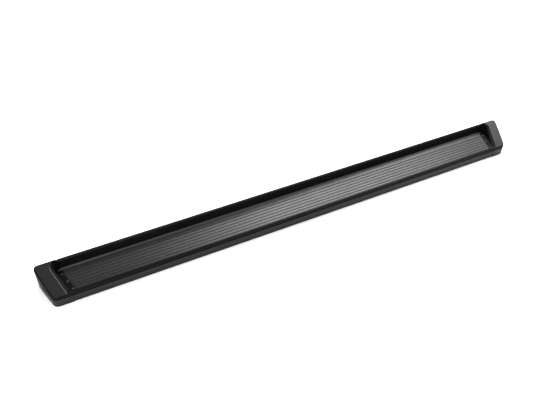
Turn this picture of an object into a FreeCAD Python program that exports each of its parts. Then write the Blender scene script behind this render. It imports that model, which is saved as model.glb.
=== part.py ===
import FreeCAD, Part
import os
from math import atan, cos, degrees, sqrt

# Running board (side step) for the right or left side of a pickup truck, in millimetres.
# X runs along the board, -Y is the outer edge, +Y the vehicle side, +Z up.
# The origin is at the middle of the board, on the ground that its end caps stand on.
# Places across the board are given as "u", the distance from the outer face of the caps.

# ---- overall size ----
BOARD_LENGTH = 2296.0        # over the feet of the end caps' rounded rear corners
BOARD_WIDTH = 150.0
TREAD_HEIGHT = 54.5          # rib tops above the ground
WALL_HEIGHT = 100.5          # top of the back wall, with its edge trim
SKIRT_DROP = 18.3            # how far the front skirt's top lies under the rib tops

# ---- fits between pieces ----
CAP_GAP = 0.3                # between the inside of a cap and the deck
BUTT_GAP = 0.3               # between pieces that meet end to end
THREAD_GAP = 0.05            # round a screw in its thread
SCREW_GAP = 0.25             # round a screw in a clearance hole
SLIDE_GAP = 0.1              # above and below what slides in a channel

# ---- end caps ----
CAP_WALL = 2.4
CAP_PROUD = CAP_WALL + CAP_GAP
END_RAKE = 50.0              # how far the end line runs outwards over the board's width
END_BOW = 3.0                # how far the end line bows outwards in the middle
END_BOW_RADIUS = 1300.0
END_LEAN = 8.0               # how far the end walls lean inwards over the back wall's height
CAP_FRONT_CORNER = 26.0
CAP_BACK_CORNER = 16.0
CAP_EDGE_RADIUS = 9.0        # rounding all round the top
CAP_TOP_WIDTH = 57.0         # flat top, along X from the end line to the bevel
BEVEL_WIDTH = 12.0
BEVEL_DROP = 7.8
BEVEL_FOOT = 19.0            # across the bevel, far enough to lie inside the recess
BEVEL_HEAD = -24.0           # across the bevel, far enough to lie outside the cap
FOOT_WIDTH = 72.5            # along X, from the end line to the recess's foot on the deck
RECESS_CORNER = 35.0         # plan radius of the recess's rear corner, at the bevel's top
RECESS_DRAFT = 6.0           # how far the recess's end wall leans over the back wall's height
CAP_FRONT_DROP = 2.5         # the cap's top plane starts this far under the rib tops
CAP_PEAK = 4.2               # how far the cap's rounded rear edge stands above the back wall
CAP_SKIN = 2.0               # how far the cap's rear corner stands in front of the back wall
FLANGE_THICKNESS = 2.5       # the cap's flange, which lies on the deck
FLANGE_WIDTH = 24.0          # along X, from the recess's foot to the flange's inner edge
TONGUE_REACH = 20.0          # how far the rear tongue starts outwards of the seam
REVEAL_HEIGHT = 4.0          # dark line between nose and skirt
REVEAL_DEPTH = 1.2
STOP_PLATE = 2.5             # plate inside the cap that meets the deck's end
STOP_PLATE_FOOT = 12.0       # height of the stop plate's lower edge

# ---- deck extrusion ----
DECK_INSET = 72.0            # from the board's end to the deck's end
DECK_THICKNESS = 3.0
PAD_BASE = 2.5
RIB_HEIGHT = 1.5
NOSE_RADIUS = 7.0
NOSE_WIDTH = 9.8
NOSE_STEP = 0.6              # the nose lies this far under the rib tops
WALL_THICKNESS = 3.0
WALL_LEAN = 4.8              # how far the back wall leans backwards
WALL_FILLET = 3.0
LEDGE_WIDTH = 10.5           # smooth strip between the pad and the back wall
TRIM_THICKNESS = 1.3
TRIM_GRIP = 8.0
REAR_LIP_BOTTOM = 30.0
WEB_SETBACK = 8.0
WEB_THICKNESS = 2.5
WEB_BOTTOM = 8.0
WEB_FOOT = 12.0
EDGE_ROUND = 0.8

# ---- T-slot channels under the deck ----
CHANNEL_SPACING = 64.0       # between the two rows of bracket bolts
CHANNEL_INNER_WIDTH = 18.0
CHANNEL_INNER_HEIGHT = 8.5
CHANNEL_WALL = 3.2
CHANNEL_LIP = 3.0
SLOT_WIDTH = 9.0

# ---- step pad ----
RIB_PITCH = 16.2
GROOVE_WIDTH = 4.2
GROOVE_COUNT = 6
FIRST_GROOVE = 24.1
RIB_DRAFT = 0.6
RIB_END_MARGIN = 5.0

# ---- front valance ----
VALANCE_SETBACK = 1.0
VALANCE_WALL = 2.5
VALANCE_CLEARANCE = 1.0      # above the ground
VALANCE_BOSS_RADIUS = 6.0
VALANCE_SCREW_COUNT = 8
VALANCE_SCREW_SPACING = 270.0
VALANCE_SCREW_HEIGHT = 19.0
VALANCE_SCREW_RADIUS = 2.0
VALANCE_SCREW_LENGTH = 6.0
VALANCE_HEAD_RADIUS = 4.0
VALANCE_HEAD_HEIGHT = 2.6

# ---- screws that hold the caps ----
TREAD_SCREW_COUNT = 3        # the rearmost one stands over the rear channel's slot
TREAD_SCREW_LEAD = 23.0      # how far the foremost one stands in front of the front channel
TREAD_SCREW_INSET = 15.5     # along X from the recess's foot
TREAD_SCREW_RADIUS = 2.5
TREAD_SCREW_LENGTH = 12.0
TREAD_HEAD_RADIUS = 5.0
TREAD_HEAD_HEIGHT = 2.8
NUT_BODY_RADIUS = 3.5
NUT_LENGTH = 11.0
NUT_FLANGE_RADIUS = 5.0
NUT_FLANGE_HEIGHT = 0.8
NUT_CRIMP_RADIUS = 4.7
NUT_CRIMP_HEIGHT = 2.5
PORT_RADIUS = 2.1
PORT_SCREW_LENGTH = 14.0
PORT_HEAD_RADIUS = 3.7
PORT_HEAD_HEIGHT = 2.6
PORT_BOSS_RADIUS = 4.5
FRONT_PORT_DEPTH = 5.9       # under the nose's top
FRONT_PORT_SETBACK = 5.3     # behind the nose's face

# ---- bracket carriages ----
STATION_SPACING = 750.0
PLATE_LENGTH = 45.0
PLATE_THICKNESS = 4.0
PLATE_SIDE_GAP = 0.5
STUD_RADIUS = 4.0            # thread, below the retainer
SHANK_RADIUS = 3.8           # plain shank, from the neck to the thread
STUD_TIP = 12.0              # height of the stud's lower end
STUD_CHAMFER = 1.0
NECK_WIDTH = 8.2
NECK_GAP = 0.2
BOLT_HEAD_RADIUS = 8.2
BOLT_HEAD_HEIGHT = 3.6
RETAINER_RADIUS = 10.0
RETAINER_THICKNESS = 3.0
RETAINER_KEY_LENGTH = 14.0
RETAINER_KEY_HEIGHT = 2.4
RETAINER_KEY_GAP = 0.3
RETAINER_COUNTERBORE = 4.4   # radius, round the thread's upper end
COUNTERBORE_DEPTH = 0.6

OVERRUN = 30.0               # how far a cutting shape runs past what it cuts

# ---- worked out from the sizes above ----
FRONT = -BOARD_WIDTH / 2
HALF_LENGTH = BOARD_LENGTH / 2
RAKE = END_RAKE / BOARD_WIDTH
RAKE_COS = cos(atan(RAKE))
PAD_TOP = TREAD_HEIGHT - RIB_HEIGHT
DECK_FLOOR = PAD_TOP - PAD_BASE
DECK_UNDER = DECK_FLOOR - DECK_THICKNESS
DECK_HALF = HALF_LENGTH - DECK_INSET
SKIRT_HEIGHT = TREAD_HEIGHT - SKIRT_DROP
NOSE_TOP = TREAD_HEIGHT - NOSE_STEP
NOSE_BOTTOM = SKIRT_HEIGHT + REVEAL_HEIGHT
PAD_FRONT = CAP_PROUD + NOSE_WIDTH
DECK_WALL_TOP = WALL_HEIGHT - TRIM_THICKNESS
WALL_BACK_TOP = BOARD_WIDTH - CAP_PROUD
WALL_FACE_TOP = WALL_BACK_TOP - WALL_THICKNESS
WALL_FOOT = WALL_FACE_TOP - WALL_LEAN
WALL_SLOPE = WALL_LEAN / (DECK_WALL_TOP - PAD_TOP)
PAD_BACK = WALL_FOOT - LEDGE_WIDTH
CHANNEL_FLOOR = DECK_UNDER - CHANNEL_INNER_HEIGHT
CHANNEL_BOTTOM = CHANNEL_FLOOR - CHANNEL_LIP
RETAINER_TOP = CHANNEL_BOTTOM - SLIDE_GAP
RETAINER_BOTTOM = RETAINER_TOP - RETAINER_THICKNESS
CHANNEL_PLACES = (BOARD_WIDTH / 2 - CHANNEL_SPACING / 2, BOARD_WIDTH / 2 + CHANNEL_SPACING / 2)
REAR_PORT = (WALL_FOOT - PORT_RADIUS, DECK_UNDER - PORT_BOSS_RADIUS / 2)
FRONT_PORT = (CAP_PROUD + FRONT_PORT_SETBACK, NOSE_TOP - FRONT_PORT_DEPTH)


def end_line(u):
    """X of the straight line that the board's right-hand end follows, at u from the front."""
    tangent = BOARD_WIDTH - CAP_BACK_CORNER
    corner = HALF_LENGTH - CAP_BACK_CORNER + CAP_BACK_CORNER / RAKE_COS
    return corner + RAKE * (u - tangent)


def wall_face(z):
    """u of the back wall's inner face at height z."""
    return WALL_FOOT + WALL_SLOPE * (z - PAD_TOP)


SEAM = end_line(0) - FOOT_WIDTH
TONGUE_END = SEAM + TONGUE_REACH
FLANGE_OFFSET = FOOT_WIDTH + FLANGE_WIDTH
FLANGE_END = end_line(0) - FLANGE_OFFSET

# The cap's top plane rises so that its rounded rear edge peaks CAP_PEAK above the back wall.
CAP_PLANE_START = TREAD_HEIGHT - CAP_FRONT_DROP
PEAK_RUN = BOARD_WIDTH - CAP_EDGE_RADIUS
PEAK_RISE = WALL_HEIGHT + CAP_PEAK - CAP_PLANE_START - CAP_EDGE_RADIUS
PEAK_ROOT = sqrt(PEAK_RISE ** 2 + PEAK_RUN ** 2 - CAP_EDGE_RADIUS ** 2)
CAP_SLOPE = (PEAK_RUN * PEAK_RISE + CAP_EDGE_RADIUS * PEAK_ROOT) / (PEAK_RUN ** 2 - CAP_EDGE_RADIUS ** 2)
CAP_TILT = atan(CAP_SLOPE)


# ---- shape helpers ----

def vector(x, u, z):
    return FreeCAD.Vector(x, FRONT + u, z)


def rounded_wire(corners, radii):
    """Closed wire through the corners, each rounded with a tangent arc of its own radius."""
    edges = []
    ends = []
    count = len(corners)
    for index, corner in enumerate(corners):
        before = (corners[index - 1] - corner).normalize()
        after = (corners[(index + 1) % count] - corner).normalize()
        radius = radii.get(index, 0)
        if radius == 0:
            ends.append((corner, corner))
            continue
        half = before.getAngle(after) / 2
        reach = radius * cos(half) / sqrt(1 - cos(half) ** 2)
        start = corner + before * reach
        stop = corner + after * reach
        bisector = (before + after).normalize()
        crown = corner + bisector * (radius / sqrt(1 - cos(half) ** 2) - radius)
        ends.append((start, stop))
        edges.append(Part.Arc(start, crown, stop).toShape())
    for index in range(count):
        edges.append(Part.makeLine(ends[index][1], ends[(index + 1) % count][0]))
    return Part.Wire(Part.__sortEdges__(edges))


def bar(profile, x_from, x_to, radii=None):
    """Constant section along X; the profile is a list of (u, z) corners."""
    corners = [vector(x_from, u, z) for u, z in profile]
    face = Part.Face(rounded_wire(corners, radii or {}))
    return face.extrude(FreeCAD.Vector(x_to - x_from, 0, 0))


def plate(outline, z_from, z_to, radii=None):
    """Upright prism; the outline is a list of (x, u) corners."""
    corners = [vector(x, u, z_from) for x, u in outline]
    face = Part.Face(rounded_wire(corners, radii or {}))
    return face.extrude(FreeCAD.Vector(0, 0, z_to - z_from))


def box(x_range, u_range, z_range):
    size = [high - low for low, high in (x_range, u_range, z_range)]
    return Part.makeBox(*size, vector(x_range[0], u_range[0], z_range[0]))


def upright(radius, x, u, z_from, z_to):
    return Part.makeCylinder(radius, z_to - z_from, vector(x, u, z_from))


def lengthwise(radius, x_from, x_to, u, z):
    return Part.makeCylinder(radius, x_to - x_from, vector(x_from, u, z), FreeCAD.Vector(1, 0, 0))


def crosswise(radius, x, u_from, u_to, z):
    return Part.makeCylinder(radius, u_to - u_from, vector(x, u_from, z), FreeCAD.Vector(0, 1, 0))


def domed_head(radius, height):
    """Low dome on the XY plane, rising along +Z."""
    sphere_radius = (radius ** 2 + height ** 2) / (2 * height)
    ball = Part.makeSphere(sphere_radius, FreeCAD.Vector(0, 0, height - sphere_radius))
    keep = Part.makeCylinder(radius, height)
    return ball.common(keep)


def placed(shape, x, u, z):
    moved = shape.copy()
    moved.translate(vector(x, u, z))
    return moved


def mirrored(shape):
    return shape.mirror(FreeCAD.Vector(0, 0, 0), FreeCAD.Vector(1, 0, 0))


def fused(shapes):
    return shapes[0].multiFuse(shapes[1:]).removeSplitter()


# ---- deck extrusion ----

def tread_screw_points():
    """(x, u) of the right-hand cap's tread screws."""
    first = CHANNEL_PLACES[0] - TREAD_SCREW_LEAD
    step = (CHANNEL_PLACES[1] - first) / (TREAD_SCREW_COUNT - 1)
    places = [first + step * index for index in range(TREAD_SCREW_COUNT)]
    return [(end_line(u) - FOOT_WIDTH - TREAD_SCREW_INSET, u) for u in places]


def valance_screw_points():
    first = -VALANCE_SCREW_SPACING * (VALANCE_SCREW_COUNT - 1) / 2
    return [first + VALANCE_SCREW_SPACING * index for index in range(VALANCE_SCREW_COUNT)]


def deck_extrusion():
    web_back = WEB_SETBACK + WEB_THICKNESS
    back_low = wall_face(PAD_TOP) + WALL_THICKNESS
    profile = [
        (CAP_PROUD, NOSE_BOTTOM),
        (CAP_PROUD, NOSE_TOP),
        (PAD_FRONT, NOSE_TOP),
        (PAD_FRONT, DECK_FLOOR),
        (PAD_BACK, DECK_FLOOR),
        (PAD_BACK, PAD_TOP),
        (WALL_FOOT, PAD_TOP),
        (WALL_FACE_TOP, DECK_WALL_TOP),
        (WALL_BACK_TOP, DECK_WALL_TOP),
        (back_low, PAD_TOP),
        (back_low, REAR_LIP_BOTTOM),
        (back_low - WALL_THICKNESS, REAR_LIP_BOTTOM),
        (back_low - WALL_THICKNESS, DECK_UNDER),
        (web_back, DECK_UNDER),
        (web_back, WEB_BOTTOM + WEB_THICKNESS),
        (WEB_SETBACK + WEB_FOOT, WEB_BOTTOM + WEB_THICKNESS),
        (WEB_SETBACK + WEB_FOOT, WEB_BOTTOM),
        (WEB_SETBACK, WEB_BOTTOM),
        (WEB_SETBACK, NOSE_BOTTOM),
    ]
    radii = {1: NOSE_RADIUS, 2: EDGE_ROUND, 6: WALL_FILLET, 7: EDGE_ROUND, 8: EDGE_ROUND}
    solids = [bar(profile, -DECK_HALF, DECK_HALF, radii)]
    solids.append(lengthwise(PORT_BOSS_RADIUS, -DECK_HALF, DECK_HALF, *REAR_PORT))
    cuts = [lengthwise(PORT_RADIUS, -DECK_HALF, DECK_HALF, *port) for port in (FRONT_PORT, REAR_PORT)]
    for centre in CHANNEL_PLACES:
        outer = CHANNEL_INNER_WIDTH / 2 + CHANNEL_WALL
        inner = CHANNEL_INNER_WIDTH / 2
        slot = SLOT_WIDTH / 2
        along = (-DECK_HALF, DECK_HALF)
        solids.append(box(along, (centre - outer, centre + outer), (CHANNEL_BOTTOM, DECK_FLOOR)))
        cuts.append(box(along, (centre - inner, centre + inner), (CHANNEL_FLOOR, DECK_UNDER)))
        cuts.append(box(along, (centre - slot, centre + slot), (CHANNEL_BOTTOM, CHANNEL_FLOOR)))
    for x, u in tread_screw_points():
        for side in (-1, 1):
            cuts.append(upright(NUT_BODY_RADIUS + THREAD_GAP, side * x, u, DECK_UNDER, DECK_FLOOR))
    for x in valance_screw_points():
        hole = VALANCE_SCREW_RADIUS + SCREW_GAP
        cuts.append(crosswise(hole, x, WEB_SETBACK, web_back, VALANCE_SCREW_HEIGHT))
    return fused(solids).cut(cuts).removeSplitter()


def rear_edge_trim():
    """Soft U-shaped strip on the top of the back wall, between the caps' tongues."""
    low = DECK_WALL_TOP - TRIM_GRIP
    inside_top = DECK_WALL_TOP + THREAD_GAP
    skin = TRIM_THICKNESS

    def face(z, offset):
        return wall_face(z) - THREAD_GAP - offset

    def back(z, offset):
        return wall_face(z) + WALL_THICKNESS + THREAD_GAP + offset

    profile = [
        (face(low, skin), low),
        (face(WALL_HEIGHT, skin), WALL_HEIGHT),
        (back(WALL_HEIGHT, skin), WALL_HEIGHT),
        (back(low, skin), low),
        (back(low, 0), low),
        (back(inside_top, 0), inside_top),
        (face(inside_top, 0), inside_top),
        (face(low, 0), low),
    ]
    half = TONGUE_END - BUTT_GAP
    return bar(profile, -half, half, {1: EDGE_ROUND, 2: EDGE_ROUND})


# ---- step pad ----

def raked_block(offset, z_from, z_to):
    """Block over the whole deck whose two ends follow the end lines, offset inwards along X."""
    low = -OVERRUN
    high = BOARD_WIDTH + OVERRUN
    narrow = end_line(low) - offset
    wide = end_line(high) - offset
    return plate([(-narrow, low), (narrow, low), (wide, high), (-wide, high)], z_from, z_to)


def rib(u_from, u_to):
    profile = [
        (u_from, PAD_TOP),
        (u_from + RIB_DRAFT, TREAD_HEIGHT),
        (u_to - RIB_DRAFT, TREAD_HEIGHT),
        (u_to, PAD_TOP),
    ]
    return bar(profile, -HALF_LENGTH, HALF_LENGTH, {1: RIB_DRAFT / 2, 2: RIB_DRAFT / 2})


def step_pad():
    front = PAD_FRONT + BUTT_GAP
    back = PAD_BACK - BUTT_GAP
    offset = FLANGE_OFFSET + BUTT_GAP
    slab = box((-HALF_LENGTH, HALF_LENGTH), (front, back), (DECK_FLOOR, PAD_TOP))
    base = slab.common(raked_block(offset, DECK_FLOOR, PAD_TOP))
    starts = [front]
    stops = []
    for index in range(GROOVE_COUNT):
        groove = FIRST_GROOVE + RIB_PITCH * index
        stops.append(groove - GROOVE_WIDTH / 2)
        starts.append(groove + GROOVE_WIDTH / 2)
    stops.append(back)
    ends = raked_block(offset + RIB_END_MARGIN, PAD_TOP, TREAD_HEIGHT)
    ribs = [rib(start, stop).common(ends) for start, stop in zip(starts, stops)]
    return fused([base] + ribs)


# ---- front valance ----

def front_valance():
    inner = VALANCE_SETBACK + VALANCE_WALL
    lip_end = WEB_SETBACK - BUTT_GAP
    profile = [
        (VALANCE_SETBACK, VALANCE_CLEARANCE),
        (VALANCE_SETBACK, SKIRT_HEIGHT),
        (lip_end, SKIRT_HEIGHT),
        (lip_end, SKIRT_HEIGHT - VALANCE_WALL),
        (inner, SKIRT_HEIGHT - VALANCE_WALL),
        (inner, VALANCE_CLEARANCE),
    ]
    half = SEAM - BUTT_GAP
    solids = [bar(profile, -half, half, {1: 2 * EDGE_ROUND})]
    holes = []
    for x in valance_screw_points():
        solids.append(crosswise(VALANCE_BOSS_RADIUS, x, inner, WEB_SETBACK, VALANCE_SCREW_HEIGHT))
        hole = VALANCE_SCREW_RADIUS + THREAD_GAP
        depth = WEB_SETBACK + WEB_THICKNESS - VALANCE_SCREW_LENGTH - THREAD_GAP
        holes.append(crosswise(hole, x, depth, WEB_SETBACK, VALANCE_SCREW_HEIGHT))
    return fused(solids).cut(holes)


def valance_screws():
    seat = WEB_SETBACK + WEB_THICKNESS
    screws = []
    for x in valance_screw_points():
        tip = seat - VALANCE_SCREW_LENGTH
        shank = crosswise(VALANCE_SCREW_RADIUS, x, tip, seat, VALANCE_SCREW_HEIGHT)
        head = domed_head(VALANCE_HEAD_RADIUS, VALANCE_HEAD_HEIGHT)
        head.rotate(FreeCAD.Vector(0, 0, 0), FreeCAD.Vector(1, 0, 0), -90)
        screws.append(fused([shank, placed(head, x, seat, VALANCE_SCREW_HEIGHT)]))
    return Part.makeCompound(screws)


# ---- end caps, drawn for the right-hand end ----

def cap_plane(u, inset):
    """Height of the cap's top plane at u, lowered by a wall's thickness inside the cap."""
    return CAP_PLANE_START + CAP_SLOPE * u - inset / cos(CAP_TILT)


def cap_outline(z, inset):
    """Plan outline of a cap at height z; its end line moves inwards as the end wall leans."""
    inner = FLANGE_END - inset
    front = inset
    back = BOARD_WIDTH - inset
    shift = inset / RAKE_COS + END_LEAN * z / WALL_HEIGHT
    middle = BOARD_WIDTH / 2
    corners = [
        vector(inner, front, z),
        vector(end_line(front) - shift, front, z),
        vector(end_line(middle) - shift + END_BOW, middle, z),
        vector(end_line(back) - shift, back, z),
        vector(inner, back, z),
    ]
    return rounded_wire(corners, {1: CAP_FRONT_CORNER - inset, 2: END_BOW_RADIUS, 3: CAP_BACK_CORNER - inset})


def cap_body(inset):
    """Outer form of a cap, or with an inset the space inside its wall."""
    inner = FLANGE_END - inset
    top = cap_plane(BOARD_WIDTH, 0)
    prism = Part.makeLoft([cap_outline(-inset, inset), cap_outline(top, inset)], True, True)
    low = -OVERRUN
    high = BOARD_WIDTH + OVERRUN
    under = bar([(low, low), (high, low), (high, cap_plane(high, inset)), (low, cap_plane(low, inset))],
                inner - OVERRUN, HALF_LENGTH + OVERRUN)
    body = prism.common(under)
    roof = max(body.Faces, key=lambda face: face.CenterOfMass.z)
    edges = [edge for edge in roof.Edges if edge.BoundBox.XMax > inner + CAP_EDGE_RADIUS]
    return body.makeFillet(CAP_EDGE_RADIUS - inset, edges)


def recess_outline(z, grow):
    """Plan outline of the recess at height z, as corners and radii."""
    rise = (z - PAD_TOP) / (WALL_HEIGHT - PAD_TOP)
    offset = FOOT_WIDTH - RECESS_DRAFT * rise - grow / RAKE_COS
    inner = FLANGE_END - OVERRUN
    back = wall_face(z) - CAP_SKIN + grow
    corners = [
        vector(inner, -OVERRUN, z),
        vector(end_line(-OVERRUN) - offset, -OVERRUN, z),
        vector(end_line(back) - offset, back, z),
        vector(inner, back, z),
    ]
    return rounded_wire(corners, {2: RECESS_CORNER - BEVEL_WIDTH + grow})


def bevel_outline(offset, grow):
    """Outline on a plane parallel to the cap's top plane, offset inwards from the bevel's top."""
    fall = BEVEL_DROP / BEVEL_WIDTH
    height = -offset * fall - grow * sqrt(1 + fall ** 2)
    rake = RAKE * cos(CAP_TILT)
    shift = CAP_TOP_WIDTH + offset * sqrt(1 + rake ** 2)
    back = (BOARD_WIDTH - CAP_PROUD - CAP_GAP) / cos(CAP_TILT) - offset
    inner = FLANGE_END - OVERRUN
    edge = end_line(0) - shift
    corners = [
        FreeCAD.Vector(inner, -OVERRUN, height),
        FreeCAD.Vector(edge - rake * OVERRUN, -OVERRUN, height),
        FreeCAD.Vector(edge + rake * back, back, height),
        FreeCAD.Vector(inner, back, height),
    ]
    return rounded_wire(corners, {2: RECESS_CORNER - offset})


def recess(grow):
    """Space over the tread inside a cap; grown by a wall it is what the cap's hollow leaves."""
    floor = PAD_TOP - (FLANGE_THICKNESS if grow else 0)
    top = WALL_HEIGHT + OVERRUN
    well = Part.makeLoft([recess_outline(floor, grow), recess_outline(top, grow)], True, True)
    wedge = Part.makeLoft([bevel_outline(BEVEL_FOOT, grow), bevel_outline(BEVEL_HEAD, grow)], True, True)
    wedge.rotate(FreeCAD.Vector(0, 0, 0), FreeCAD.Vector(1, 0, 0), degrees(CAP_TILT))
    wedge.translate(vector(0, 0, CAP_PLANE_START))
    above = box((FLANGE_END - 2 * OVERRUN, HALF_LENGTH), (-2 * OVERRUN, BOARD_WIDTH + OVERRUN),
                (floor, top + 2 * OVERRUN))
    return well.fuse(wedge.common(above))


def deck_clearance():
    """Room for the deck inside a cap, with the cap's flange lying on the deck's floor."""
    low = NOSE_BOTTOM
    profile = [
        (CAP_PROUD - CAP_GAP, low),
        (CAP_PROUD - CAP_GAP, NOSE_TOP + CAP_GAP),
        (PAD_FRONT + CAP_GAP, NOSE_TOP + CAP_GAP),
        (PAD_FRONT + CAP_GAP, DECK_FLOOR),
        (PAD_BACK - CAP_GAP, DECK_FLOOR),
        (PAD_BACK - CAP_GAP, PAD_TOP + CAP_GAP),
        (wall_face(PAD_TOP) - CAP_GAP, PAD_TOP + CAP_GAP),
        (WALL_FACE_TOP - CAP_GAP, DECK_WALL_TOP + CAP_GAP),
        (WALL_BACK_TOP + CAP_GAP, DECK_WALL_TOP + CAP_GAP),
        (WALL_BACK_TOP + CAP_GAP, low),
    ]
    radii = {1: NOSE_RADIUS, 6: WALL_FILLET - CAP_GAP}
    return bar(profile, FLANGE_END - OVERRUN, DECK_HALF + CAP_GAP, radii)


def reveal_groove():
    """Shallow groove round a cap, in line with the reveal above the valance."""
    ring = cap_body(0).cut(cap_body(REVEAL_DEPTH))
    band = box((FLANGE_END - OVERRUN, HALF_LENGTH + OVERRUN), (-OVERRUN, BOARD_WIDTH + OVERRUN),
               (SKIRT_HEIGHT, NOSE_BOTTOM))
    return ring.common(band)


def end_cap():
    hollow = cap_body(CAP_WALL).cut(recess(CAP_WALL))
    along = (FLANGE_END - OVERRUN, SEAM)
    tall = (-OVERRUN, WALL_HEIGHT + OVERRUN)
    front_trim = box(along, (-OVERRUN, PAD_FRONT + CAP_GAP), tall)
    back_trim = box((along[0], TONGUE_END), (PAD_BACK - CAP_GAP, BOARD_WIDTH + OVERRUN), tall)
    flange_trim = raked_block(FLANGE_OFFSET, *tall)
    shell = cap_body(0).cut([recess(0), hollow, deck_clearance(), front_trim, back_trim, flange_trim])
    stop_at = DECK_HALF + CAP_GAP
    stop = box((stop_at, stop_at + STOP_PLATE), (0, BOARD_WIDTH), (STOP_PLATE_FOOT, DECK_FLOOR))
    cap = fused([shell, stop.common(hollow)])
    holes = [reveal_groove()]
    for x, u in tread_screw_points():
        holes.append(upright(TREAD_SCREW_RADIUS + SCREW_GAP, x, u, DECK_FLOOR, PAD_TOP))
        recess_top = DECK_FLOOR + NUT_FLANGE_HEIGHT + SLIDE_GAP
        holes.append(upright(NUT_FLANGE_RADIUS + SCREW_GAP, x, u, DECK_FLOOR, recess_top))
    for u, z in (FRONT_PORT, REAR_PORT):
        holes.append(lengthwise(PORT_RADIUS + SCREW_GAP, stop_at, stop_at + STOP_PLATE, u, z))
    return cap.cut(holes)


# ---- screws and nuts that hold the right-hand cap ----

def tread_screws():
    screws = []
    for x, u in tread_screw_points():
        shank = upright(TREAD_SCREW_RADIUS, x, u, PAD_TOP - TREAD_SCREW_LENGTH, PAD_TOP)
        head = placed(domed_head(TREAD_HEAD_RADIUS, TREAD_HEAD_HEIGHT), x, u, PAD_TOP)
        screws.append(fused([shank, head]))
    return Part.makeCompound(screws)


def rivet_nuts():
    nuts = []
    for x, u in tread_screw_points():
        body = upright(NUT_BODY_RADIUS, x, u, DECK_FLOOR - NUT_LENGTH, DECK_FLOOR)
        flange = upright(NUT_FLANGE_RADIUS, x, u, DECK_FLOOR, DECK_FLOOR + NUT_FLANGE_HEIGHT)
        crimp = upright(NUT_CRIMP_RADIUS, x, u, DECK_UNDER - NUT_CRIMP_HEIGHT, DECK_UNDER)
        bore = upright(TREAD_SCREW_RADIUS + THREAD_GAP, x, u, DECK_FLOOR - NUT_LENGTH,
                       DECK_FLOOR + NUT_FLANGE_HEIGHT)
        nuts.append(fused([body, flange, crimp]).cut(bore))
    return Part.makeCompound(nuts)


def port_screws():
    """Screws through the cap's stop plate into the deck's two screw ports."""
    seat = DECK_HALF + CAP_GAP + STOP_PLATE
    screws = []
    for u, z in (FRONT_PORT, REAR_PORT):
        shank = lengthwise(PORT_RADIUS - THREAD_GAP, seat - PORT_SCREW_LENGTH, seat, u, z)
        head = domed_head(PORT_HEAD_RADIUS, PORT_HEAD_HEIGHT)
        head.rotate(FreeCAD.Vector(0, 0, 0), FreeCAD.Vector(0, 1, 0), 90)
        screws.append(fused([shank, placed(head, seat, u, z)]))
    return Part.makeCompound(screws)


# ---- bracket carriages: one in each channel at each bracket station ----

def slider_plate(x, u):
    bottom = CHANNEL_FLOOR + SLIDE_GAP
    half_width = CHANNEL_INNER_WIDTH / 2 - PLATE_SIDE_GAP
    slab = box((x - PLATE_LENGTH / 2, x + PLATE_LENGTH / 2), (u - half_width, u + half_width),
               (bottom, bottom + PLATE_THICKNESS))
    half_hole = NECK_WIDTH / 2 + NECK_GAP
    hole = box((x - half_hole, x + half_hole), (u - half_hole, u + half_hole),
               (bottom, bottom + PLATE_THICKNESS))
    return slab.cut(hole)


def carriage_bolt(x, u):
    bottom = CHANNEL_FLOOR + SLIDE_GAP
    seat = bottom + PLATE_THICKNESS
    half_neck = NECK_WIDTH / 2
    neck = box((x - half_neck, x + half_neck), (u - half_neck, u + half_neck), (bottom, seat))
    head = placed(domed_head(BOLT_HEAD_RADIUS, BOLT_HEAD_HEIGHT), x, u, seat)
    shank = upright(SHANK_RADIUS, x, u, RETAINER_BOTTOM, bottom)
    thread = upright(STUD_RADIUS, x, u, STUD_TIP + STUD_CHAMFER, RETAINER_BOTTOM)
    tip = Part.makeCone(STUD_RADIUS - STUD_CHAMFER, STUD_RADIUS, STUD_CHAMFER, vector(x, u, STUD_TIP))
    return fused([neck, head, shank, thread, tip])


def retainer(x, u):
    """Nylon disc that grips the stud under the channel, keyed into the slot."""
    key_top = RETAINER_TOP + RETAINER_KEY_HEIGHT
    disc = upright(RETAINER_RADIUS, x, u, RETAINER_BOTTOM, RETAINER_TOP)
    half_length = RETAINER_KEY_LENGTH / 2
    half_width = SLOT_WIDTH / 2 - RETAINER_KEY_GAP
    key = box((x - half_length, x + half_length), (u - half_width, u + half_width),
              (RETAINER_TOP, key_top))
    bore = upright(SHANK_RADIUS + THREAD_GAP, x, u, RETAINER_BOTTOM, key_top)
    counterbore = upright(RETAINER_COUNTERBORE, x, u, RETAINER_BOTTOM, RETAINER_BOTTOM + COUNTERBORE_DEPTH)
    return fused([disc, key]).cut([bore, counterbore])


def carriages():
    nodes = {}
    stations = {"left": -STATION_SPACING, "middle": 0.0, "right": STATION_SPACING}
    rows = dict(zip(("front", "rear"), CHANNEL_PLACES))
    for station, x in stations.items():
        for row, u in rows.items():
            name = station + "_" + row
            nodes[name + "_slider_plate"] = slider_plate(x, u)
            nodes[name + "_carriage_bolt"] = carriage_bolt(x, u)
            nodes[name + "_retainer"] = retainer(x, u)
    return nodes


def cap_set():
    """Each cap with its screws and nuts, at both ends."""
    right = {
        "end_cap": end_cap(),
        "tread_screws": tread_screws(),
        "rivet_nuts": rivet_nuts(),
        "port_screws": port_screws(),
    }
    nodes = {}
    for name, shape in right.items():
        nodes["right_" + name] = shape
        nodes["left_" + name] = mirrored(shape)
    return nodes


def build():
    nodes = {
        "deck_extrusion": deck_extrusion(),
        "step_pad": step_pad(),
        "front_valance": front_valance(),
        "valance_screws": valance_screws(),
        "rear_edge_trim": rear_edge_trim(),
    }
    nodes.update(cap_set())
    nodes.update(carriages())
    return nodes


os.makedirs("parts", exist_ok=True)
for node, shape in build().items():
    shape.exportStep("parts/" + node + ".step")
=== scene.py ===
from math import cos, pi, radians, sin, sqrt, tau

import bmesh
import bpy
from mathutils import Matrix, Vector


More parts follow.
